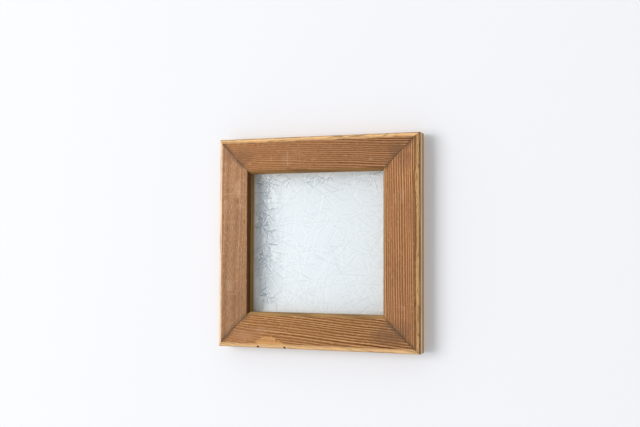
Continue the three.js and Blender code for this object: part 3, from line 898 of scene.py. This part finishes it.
def figured_pane():
    """The pane, its front cut along every needle's feet and crest and raised there."""
    swells = swells_and_painted_shadow()
    needles = needle_figure()
    left, bottom = pane_low.xz
    right, top = pane_high.xz
    points = [Vector(corner) for corner in ((left, bottom), (right, bottom), (right, top), (left, top))]
    edges = [(0, 1), (1, 2), (2, 3), (3, 0)]
    for middle, ahead, half_length, half_width, *_ in needles:
        tip = ahead * half_length
        shoulder = tip * (1 - NEEDLE_POINT)
        for side in (-1, 0, 1):
            beside = Vector((-ahead.y, ahead.x)) * half_width * side
            first = len(points)
            points += [middle - tip, middle - shoulder + beside, middle + shoulder + beside, middle + tip]
            edges += [(first + step, first + step + 1) for step in range(3)]
    places, _, faces, *_ = geometry.delaunay_2d_cdt(points, edges, [], 0, TOUCHING)

    flat = numpy.array([tuple(place) for place in places])
    swell_height, swell_shade_and_painted_shadow = highest(swells, flat)
    needle_height, needle_shade = highest(needles, flat)
    raised = numpy.maximum(swell_height * SWELL_RISE, needle_height)
    # The edge swells' painted shadow, added to the needles' painted highlight and shade.
    shades = swell_shade_and_painted_shadow + needle_shade

    bm = bmesh.new()
    layer = bm.verts.layers.float.new("needle")
    front = pane_low.y + NEEDLE_HEIGHT
    verts = []
    for (x, z), rise, shade in zip(flat, raised, shades):
        vert = bm.verts.new((x, front - NEEDLE_HEIGHT * rise, z))
        vert[layer] = shade
        verts.append(vert)
    for face in faces:
        bm.faces.new([verts[index] for index in face])
    rim = [edge for edge in bm.edges if edge.is_boundary]
    sides = bmesh.ops.extrude_edge_only(bm, edges=rim)
    bmesh.ops.translate(bm, verts=verts_in(sides), vec=(0, pane_high.y - front, 0))
    bmesh.ops.holes_fill(bm, edges=[edge for edge in bm.edges if edge.is_boundary], sides=0)
    bmesh.ops.recalc_face_normals(bm, faces=bm.faces)
    return bm


def main_shader(finish):
    return Shade(finish.tree, finish.tree.nodes["Principled BSDF"].outputs[0])


def set_surface(finish, surface):
    """Makes a shader the surface of a material."""
    finish.tree.links.new(surface.socket, finish.tree.nodes["Material Output"].inputs["Surface"])


needle_glass, glass = new_finish("needle_glass")
# The needle attribute holds painted light: highlight on lit flanks, shade on shaded flanks and the rails'
# shadow along the left and top edges, besides the broad swells' random tone.
needle = glass.node("Attribute", output=2, attribute_name="needle")
from_left, *_ = place_on(glass).parts()
glinting = (from_left - sight_left / MM).fades(*GLINT_ZONE)
lit = needle.between(0.0, 0.7)
glass_tint = (needle * 2).mix(GLASS_TINT, PAINTED_HIGHLIGHT_AND_FIGURE_PALE)
glass_tint = (needle * -1).mix(glass_tint, PAINTED_SHADE_AND_FIGURE_DARK)
feed(
    needle_glass, Base_Color=glass_tint, Metallic=lit * glinting * 0.4, Roughness=lit * 0.3 + 0.03,
    IOR=GLASS_IOR, Transmission_Weight=1.0,
)
# Light from the lamps and the room passes straight through to the card.
for_camera = glass.node("LightPath")
clear = glass.node("BsdfTransparent", {"Color": GLASS_CLEAR})
set_surface(glass, glass.node("MixShader", {0: for_camera, 1: clear, 2: main_shader(glass)}))
add_piece("needle_glass_pane", figured_pane(), needle_glass, "frame", "figured_glass", "figured_glass")


# White card
# A sheet of plain white mount card behind the glass, cut with a knife to the size of the pane and held
# by the spacer strips in front of it and the back board behind it.
CARD_EDGE = 0.15 * MM
EASED_STEPS = 2
CARD_WHITE = srgb(251, 252, 254)
CARD_FLECK = srgb(247, 248, 250)


def bevel_edges(bm, edges, offset):
    bmesh.ops.bevel(
        bm, geom=edges, offset=offset, offset_type="OFFSET", segments=EASED_STEPS, profile=0.5,
        affect="EDGES", material=-1,
    )


def block(node, edge):
    """A sheet the size of a CAD node, with its edges eased."""
    low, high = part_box(node)
    bm = bmesh.new()
    shape = Matrix.Translation((low + high) / 2) @ Matrix.Diagonal((*(high - low), 1))
    bmesh.ops.create_cube(bm, size=1, matrix=shape)
    bevel_edges(bm, bm.edges[:], edge)
    soften(bm)
    return bm


mount_card, card = new_finish("mount_card")
mottle = place_on(card).noise(scale=0.8, detail=5, roughness=0.65)
feed(
    mount_card, Base_Color=mottle.between(0.35, 0.65).mix(CARD_FLECK, CARD_WHITE), Roughness=0.9,
    Specular_IOR_Level=0.2, Normal=mottle.bump(0.15, 0.05 * MM),
)
add_piece("mount_card_sheet", block("white_card", CARD_EDGE), mount_card, "frame", "white_card", "white_card")


# Spacer strips
# Four planed softwood strips in the rabbet, butted at the corners, that keep the card off the glass.
SPACER_EDGE = 0.3 * MM
SPACER_PALE = srgb(222, 199, 160)
SPACER_LATE = srgb(198, 166, 118)


def planed_finish(name, stretch):
    """Planed bare softwood, its grain drawn out along the axis that the stretch makes small."""
    material, wood = new_finish(name)
    place = place_on(wood).times(stretch)
    bands = (place.noise(scale=0.35, detail=2) * 9).wave()
    fibre = place.noise(scale=2.2, detail=3)
    feed(
        material, Base_Color=(bands * 0.7).mix(SPACER_PALE, SPACER_LATE).scaled(fibre * 0.3 + 0.85),
        Roughness=fibre * 0.2 + 0.55, Specular_IOR_Level=0.3, Normal=fibre.bump(0.25, 0.1 * MM),
    )
    return material


level_strip = planed_finish("level_strip", (0.06, 1, 1))
upright_strip = planed_finish("upright_strip", (1, 1, 0.06))
for side in ("top", "bottom", "left", "right"):
    node = f"spacer_{side}"
    finish = level_strip if side in ("top", "bottom") else upright_strip
    add_piece(f"{node}_strip", block(node, SPACER_EDGE), finish, "frame", "spacer_wood", node)


# Back board
# A 3 mm sheet of three-ply plywood with sanded faces, let into the rabbet behind the card.
BOARD_EDGE = 0.4 * MM
PLY_FACE = srgb(204, 170, 120)
PLY_LATE = srgb(176, 134, 84)
PLY_CORE = srgb(150, 108, 66)
PLY_KNOT = srgb(128, 84, 48)
# Knots in the face: x, z and half height in millimetres, and how much longer than high they are.
PLY_KNOTS = ((38, -96, 7), (-62, -205, 5))
KNOT_LENGTH = 2.2
GLUE_LINE = 0.1
board_low, board_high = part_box("back_board")
ply_thickness = (board_high.y - board_low.y) / MM / 3
plywood, ply = new_finish("plywood")
ply_place = place_on(ply)
ply_x, ply_y, ply_z = ply_place.parts()
pull = ply_place.times((0.004, 0, 0.022)).noise(detail=1.5) * 9
knots = ply_x * 0
for x, z, half_height in PLY_KNOTS:
    away = ((ply_x - x) / (half_height * KNOT_LENGTH)).squares((ply_z - z) / half_height)
    near = (away * 1.5 + 0.35) ** -1
    pull = pull + near * 1.1
    knots = knots + near.between(1.6, 2.4)
veneer = (pull + ply_z * 0.03).wave() ** 2
ply_fibre = ply_place.times((0.05, 1, 1.4)).noise(detail=4)
ply_face = (veneer * 0.75).mix(PLY_FACE, PLY_LATE).scaled(ply_fibre * 0.4 + 0.8)
ply_face = (knots * 0.8).mix(ply_face, PLY_KNOT)
glue_lines = [(line - GLUE_LINE, line + GLUE_LINE) for line in (ply_thickness, 2 * ply_thickness)]
core = (ply_y - board_low.y / MM).band(*glue_lines)
feed(
    plywood, Base_Color=core.mix(ply_face, PLY_CORE), Roughness=ply_fibre * 0.25 + 0.5,
    Specular_IOR_Level=0.3, Normal=(ply_fibre + veneer * 0.4).bump(0.2, 0.1 * MM),
)
add_piece("plywood_back", block("back_board", BOARD_EDGE), plywood, "frame", "plywood", "back_board")


# Screws
# Slotted pan-head wood screws, brass plated, turned on a lathe and driven into the backs of the rails.
SHANK_RADIUS = 1.35 * MM
HEAD_RADIUS = 2.8 * MM
HEAD_HEIGHT = 1.7 * MM
HEAD_RIM = HEAD_HEIGHT / 3
TIP_LENGTH = 3 * MM
SLOT_WIDTH = 0.75 * MM
SLOT_DEPTH = 0.8 * MM
LATHE_STEPS = 40
DOME_STEPS = 8
SCREW_TONE = srgb(176, 153, 107)
SCREW_TARNISH = srgb(112, 88, 56)
# Degrees that each screw's slot stands at.
SCREW_TURNS = {
    "turn_button_screw_left_upper": 20,
    "turn_button_screw_left_lower": 75,
    "turn_button_screw_right_upper": -40,
    "turn_button_screw_right_lower": 5,
    "hanger_screw_upper": 55,
    "hanger_screw_lower": -15,
}


def lathe(profile, centre):
    """A profile of (radius, y) points turned about a line along Y through the centre."""
    bm = bmesh.new()
    points = [bm.verts.new((radius, y, 0)) for radius, y in profile]
    for first, second in zip(points, points[1:]):
        bm.edges.new((first, second))
    bmesh.ops.spin(
        bm, geom=bm.verts[:] + bm.edges[:], cent=(0, 0, 0), axis=(0, 1, 0), angle=math.tau,
        steps=LATHE_STEPS, use_merge=True, use_duplicate=False,
    )
    bmesh.ops.remove_doubles(bm, verts=bm.verts, dist=TOUCHING)
    bmesh.ops.recalc_face_normals(bm, faces=bm.faces)
    bmesh.ops.translate(bm, verts=bm.verts, vec=centre)
    return bm


def axis_of(node):
    """Where the line along Y through the middle of a CAD node crosses the wall."""
    low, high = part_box(node)
    return Vector(((low.x + high.x) / 2, 0, (low.z + high.z) / 2))


def slotted_screw(node, angle):
    low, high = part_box(node)
    axis = axis_of(node)
    seat = high.y - HEAD_HEIGHT
    rim = seat + HEAD_RIM
    turns = [step * math.pi / 2 / DOME_STEPS for step in range(DOME_STEPS)]
    dome = [(HEAD_RADIUS * math.cos(turn), rim + (high.y - rim) * math.sin(turn)) for turn in turns]
    profile = [(0, low.y), (SHANK_RADIUS, low.y + TIP_LENGTH), (SHANK_RADIUS, seat), (HEAD_RADIUS, seat)]
    screw = lathe(profile + dome + [(0, high.y)], axis)
    slot = bmesh.new()
    place = Matrix.Translation((axis.x, high.y, axis.z)) @ Matrix.Rotation(angle, 4, "Y")
    bmesh.ops.create_cube(
        slot, size=1, matrix=place @ Matrix.Diagonal((3 * HEAD_RADIUS, 2 * SLOT_DEPTH, SLOT_WIDTH, 1)),
    )
    screw = cut(screw, slot)
    soften(screw)
    return screw


def plated_finish(name, tone, tarnish):
    """Dull brass plate, darker where it has been handled and finely scratched."""
    material, plate = new_finish(name)
    place = place_on(plate)
    stain = place.noise(scale=0.45, detail=4).between(0.42, 0.72)
    scratch = place.times((0.4, 1, 7)).noise(scale=1.6, detail=3)
    feed(
        material, Base_Color=(stain * 0.75).mix(tone, tarnish), Metallic=1 - stain * 0.25,
        Roughness=stain * 0.25 + scratch * 0.2 + 0.2, Normal=scratch.bump(0.2, 0.03 * MM),
    )
    return material


screw_plate = plated_finish("screw_plate", SCREW_TONE, SCREW_TARNISH)
for node, degrees in SCREW_TURNS.items():
    screw = slotted_screw(node, math.radians(degrees))
    add_piece(f"{node}_slotted", screw, screw_plate, "frame", "screw_brass", node)


# Turn buttons
# Brass-plated steel tongues on the backs of the side rails, stamped with a round heel and tip. Each
# turns about its screw to hold or to free the back board.
BUTTON_HEEL = 6 * MM
BUTTON_TIP = 3.5 * MM
BUTTON_REACH = 14.5 * MM
BUTTON_HOLE = 1.6 * MM
BUTTON_EDGE = 0.3 * MM
HEEL_STEPS = 32
TIP_STEPS = 16
SQUARE_EDGE = math.radians(60)
PLATE_TONE = srgb(181, 145, 79)
PLATE_TARNISH = srgb(116, 82, 40)
brass_plate = plated_finish("brass_plate", PLATE_TONE, PLATE_TARNISH)


def arc(centre, radius, start, end, steps):
    """Points of an arc in a plane, from one angle to another."""
    angles = [start + (end - start) * step / steps for step in range(steps + 1)]
    return [(centre[0] + radius * math.cos(angle), centre[1] + radius * math.sin(angle)) for angle in angles]


def stamped_plate(outline, front, back):
    """A plate with an outline in X and Z, between two depths."""
    bm = bmesh.new()
    bm.faces.new([bm.verts.new((x, front, z)) for x, z in outline])
    far = bmesh.ops.extrude_face_region(bm, geom=bm.faces[:])
    bmesh.ops.translate(bm, verts=verts_in(far), vec=(0, back - front, 0))
    bmesh.ops.recalc_face_normals(bm, faces=bm.faces)
    return bm


def ease_edges(bm, offset):
    """Rounds every square edge a little."""
    bm.normal_update()
    bevel_edges(bm, [edge for edge in bm.edges if edge.calc_face_angle(0) > SQUARE_EDGE], offset)


def drill(bm, places, radius, front, back):
    """The mesh with round holes along Y at places in X and Z."""
    bits = bmesh.new()
    for x, z in places:
        place = Matrix.Translation((x, (front + back) / 2, z)) @ Matrix.Rotation(math.pi / 2, 4, "X")
        bmesh.ops.create_cone(
            bits, cap_ends=True, segments=LATHE_STEPS, radius1=radius, radius2=radius,
            depth=2 * (back - front), matrix=place,
        )
    return cut(bm, bits)


tangent = math.acos((BUTTON_HEEL - BUTTON_TIP) / BUTTON_REACH)
heel = arc((0, 0), BUTTON_HEEL, tangent, math.tau - tangent, HEEL_STEPS)
tongue = arc((BUTTON_REACH, 0), BUTTON_TIP, -tangent, tangent, TIP_STEPS)
for side, facing in (("left", 1), ("right", -1)):
    for end in ("upper", "lower"):
        node = f"turn_button_{side}_{end}"
        low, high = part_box(node)
        pivot_x = low.x + BUTTON_HEEL if side == "left" else high.x - BUTTON_HEEL
        pivot_z = (low.z + high.z) / 2
        outline = [(pivot_x + facing * x, pivot_z + z) for x, z in heel + tongue]
        button = stamped_plate(outline, low.y, high.y)
        ease_edges(button, BUTTON_EDGE)
        button = drill(button, [(pivot_x, pivot_z)], BUTTON_HOLE, low.y, high.y)
        soften(button)
        add_piece(f"{node}_tongue", button, brass_plate, f"button_{side}_{end}", "brass_plate", node)


# Hanger strap
# A strip of brass-plated steel, rounded below and curled over at the top to hold the ring's straight bar.
# Two screws hold it to the back of the top rail.
STRAP_THICKNESS = 0.8 * MM
STRAP_CURL = math.radians(290)
STRAP_EDGE = 0.15 * MM
STRAP_HOLE = 1.65 * MM
STRAP_END_STEPS = 24
CURL_STEPS = 36
RING_WIRE = 1 * MM
ring_low, ring_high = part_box("hanger_ring")
strap_low, strap_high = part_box("hanger_strap")
ring_axis = Vector((0, (ring_low.y + ring_high.y) / 2, ring_low.z + RING_WIRE))
strap_round = (strap_high.x - strap_low.x) / 2
strap_front = strap_low.y
strap_back = strap_front + STRAP_THICKNESS
lower_end = arc((0, strap_low.z + strap_round), strap_round, math.pi, math.tau, STRAP_END_STEPS)
upper_end = [(strap_round, ring_axis.z), (-strap_round, ring_axis.z)]
strap = stamped_plate(lower_end + upper_end, strap_front, strap_back)
strap.normal_update()
fold = next(face for face in strap.faces if face.normal.z > 0.99)
bmesh.ops.spin(
    strap, geom=[fold, *fold.edges, *fold.verts], cent=ring_axis, axis=(-1, 0, 0), angle=STRAP_CURL,
    steps=CURL_STEPS, use_duplicate=False,
)
bmesh.ops.recalc_face_normals(strap, faces=strap.faces)
ease_edges(strap, STRAP_EDGE)
strap_screws = [axis_of(f"hanger_screw_{end}").xz for end in ("upper", "lower")]
strap = drill(strap, strap_screws, STRAP_HOLE, strap_front, strap_back)
soften(strap)
add_piece("curled_strap", strap, brass_plate, "frame", "brass_plate", "hanger_strap")


# Hanger ring
# Round wire bent into a D, its straight bar held in the strap's curl, so that it swings about the bar.
RING_CORNER = 2.2 * MM
WIRE_STEPS = 16
CORNER_STEPS = 8
BOW_STEPS = 40
BAR_HALF_STEPS = 4
corner_x = (ring_high.x - ring_low.x) / 2 - RING_WIRE - RING_CORNER
bow = ring_high.z - RING_WIRE - ring_axis.z - RING_CORNER
right_corner = arc((corner_x, RING_CORNER), RING_CORNER, -math.pi / 2, 0, CORNER_STEPS)
left_corner = arc((-corner_x, RING_CORNER), RING_CORNER, math.pi, 1.5 * math.pi, CORNER_STEPS)
half_bow = arc((0, 0), 1, 0, math.pi, BOW_STEPS)[1:-1]
bow_points = [(x * (corner_x + RING_CORNER), RING_CORNER + z * bow) for x, z in half_bow]
bar = [(corner_x * step / BAR_HALF_STEPS, 0) for step in range(1 - BAR_HALF_STEPS, BAR_HALF_STEPS)]
path = [Vector((x, 0, z)) for x, z in right_corner + bow_points + left_corner + bar]
ring = bmesh.new()
loops = []
for before, here, after in zip(path[-1:] + path[:-1], path, path[1:] + path[:1]):
    ahead = (after - before).normalized()
    beside = Vector((ahead.z, 0, -ahead.x))
    turned = Matrix((beside, Vector((0, 1, 0)), ahead)).transposed().to_4x4()
    made = bmesh.ops.create_circle(
        ring, segments=WIRE_STEPS, radius=RING_WIRE, matrix=Matrix.Translation(ring_axis + here) @ turned,
    )
    loops.append(list({edge for vert in made["verts"] for edge in vert.link_edges}))
for first, second in zip(loops, loops[1:] + loops[:1]):
    bmesh.ops.bridge_loops(ring, edges=first + second)
bmesh.ops.recalc_face_normals(ring, faces=ring.faces)
soften(ring)
add_piece("wire_ring", ring, brass_plate, "ring", "brass_plate", "hanger_ring")


# Wall bumpers
# Moulded rubber discs stuck to the bottom rail, as thick as the hanger stands off the wall.
BUMPER_ROUND = 1.2 * MM
BUMPER_ROUND_STEPS = 6
RUBBER_DARK = srgb(54, 51, 49)
RUBBER_BLOOM = srgb(84, 80, 76)
bumper_rubber, rubber = new_finish("bumper_rubber")
bloom = place_on(rubber).noise(scale=0.5, detail=5, roughness=0.6)
grit = place_on(rubber).noise(scale=4, detail=2)
feed(
    bumper_rubber, Base_Color=bloom.between(0.4, 0.75).mix(RUBBER_DARK, RUBBER_BLOOM),
    Roughness=bloom * 0.3 + 0.55, Normal=grit.bump(0.2, 0.05 * MM),
)
for side in ("left", "right"):
    node = f"wall_bumper_{side}"
    low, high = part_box(node)
    radius = (high.x - low.x) / 2
    rounding = (radius - BUMPER_ROUND, high.y - BUMPER_ROUND)
    edge = arc(rounding, BUMPER_ROUND, 0, math.pi / 2, BUMPER_ROUND_STEPS)
    bumper = lathe([(0, low.y), (radius, low.y), *edge, (0, high.y)], axis_of(node))
    soften(bumper)
    add_piece(f"{node}_disc", bumper, bumper_rubber, "frame", "bumper_rubber", node)


# Wall, light and camera
# A white wall that the frame hangs on, seen from the room only; one soft window to the left, a lamp for the
# back, a room that is dimmer on the right, and a camera to the right of the frame.
WALL_SIZE = 4.0
WALL_GAP = 0.2 * MM
WALL_WHITE = srgb(236, 237, 240)
wall_mesh = bmesh.new()
wall_place = Matrix.Translation((0, WALL_GAP, FRAME_MIDDLE.z)) @ Matrix.Rotation(math.pi / 2, 4, "X")
bmesh.ops.create_grid(wall_mesh, x_segments=1, y_segments=1, size=WALL_SIZE / 2, matrix=wall_place)
wall = new_object("wall", wall_mesh)
wall_paint, paint = new_finish("wall_paint")
feed(wall_paint, Base_Color=WALL_WHITE, Roughness=0.9, Specular_IOR_Level=0.0)
behind_wall = paint.node("NewGeometry", output=6)
unseen = paint.node("BsdfTransparent")
set_surface(paint, paint.node("MixShader", {0: behind_wall, 1: main_shader(paint), 2: unseen}))
wall.data.materials.append(wall_paint)
wall.visible_diffuse = False
wall.visible_shadow = False
wall.visible_glossy = False

WINDOW_LEVEL = 0.58
WINDOW_DIRECTION = Vector((-0.8, -1, 0.08)).normalized()
WINDOW_DISTANCE = 8.0
WINDOW_WIDTH = 4.2
WINDOW_HEIGHT = 4.6
WINDOW_TINT = (1.03, 1.0, 0.97)
BACK_LEVEL = 0.5
BACK_DIRECTION = Vector((-0.55, 1, 0.6)).normalized()
BACK_DISTANCE = 4.0
BACK_SIZE = 1.6


def aimed_lamp(name, shape, level, direction, distance):
    """An area lamp turned to the frame, with the power that gives white paint there about its level."""
    data = bpy.data.lights.new(name, "AREA")
    data.shape = shape
    data.energy = level * math.pi ** 2 * distance ** 2
    lamp = bpy.data.objects.new(name, data)
    lamp.location = FRAME_MIDDLE + direction * distance
    lamp.rotation_euler = direction.to_track_quat("Z", "Y").to_euler()
    bpy.context.scene.collection.objects.link(lamp)
    return lamp


window = aimed_lamp("window", "RECTANGLE", WINDOW_LEVEL, WINDOW_DIRECTION, WINDOW_DISTANCE)
window.data.size = WINDOW_WIDTH
window.data.size_y = WINDOW_HEIGHT
window.data.color = WINDOW_TINT
window.visible_glossy = False
back_lamp = aimed_lamp("behind", "DISK", BACK_LEVEL, BACK_DIRECTION, BACK_DISTANCE)
back_lamp.data.size = BACK_SIZE

ROOM_FRONT = 0.7
ROOM_SIDE = 0.26
ROOM_ABOVE = 0.04
ROOM_WALL = 0.62
ROOM_WALL_ABOVE = 0.3
ROOM_TINT = (0.97, 1.0, 1.035)
BACKGROUND_WHITE = srgb(246, 247, 250)
world = bpy.data.worlds.new("room")
world.use_nodes = True
bpy.context.scene.world = world
room = Shade(world.node_tree)
right, inward, up = room.node("TexCoord", output=0).parts()
ahead = ROOM_FRONT - right * ROOM_SIDE + up * ROOM_ABOVE
walled = inward.between(-0.2, 0.2)
fill = ahead * (1 - walled) + walled * (up * ROOM_WALL_ABOVE + ROOM_WALL)
ray = room.node("LightPath")
plainly = (ray + ray.other("Is Transmission Ray")).between(0, 1)
sky = plainly.mix(room.node("CombineXYZ", {0: fill, 1: fill, 2: fill}).times(ROOM_TINT), BACKGROUND_WHITE)
world.node_tree.links.new(sky.socket, world.node_tree.nodes["Background"].inputs["Color"])

CAMERA_PLACE = (0.4613, -1.25356, -0.15282)
CAMERA_YAW = math.radians(20.35)
CAMERA_PITCH = math.radians(2.214)
CAMERA_ROLL = math.radians(0.203)
CAMERA_LENS = 52.57
CAMERA_SENSOR = 36
CAMERA_NEAREST = 0.01
camera_data = bpy.data.cameras.new("camera")
camera_data.lens = CAMERA_LENS
camera_data.sensor_width = CAMERA_SENSOR
camera_data.sensor_fit = "HORIZONTAL"
camera_data.clip_start = CAMERA_NEAREST
camera = bpy.data.objects.new("camera", camera_data)
camera.matrix_world = (
    Matrix.Translation(CAMERA_PLACE)
    @ Matrix.Rotation(CAMERA_YAW, 4, "Z")
    @ Matrix.Rotation(math.pi / 2 + CAMERA_PITCH, 4, "X")
    @ Matrix.Rotation(CAMERA_ROLL, 4, "Z")
)
bpy.context.scene.collection.objects.link(camera)
bpy.context.scene.camera = camera
bpy.context.scene.view_settings.view_transform = "Standard"
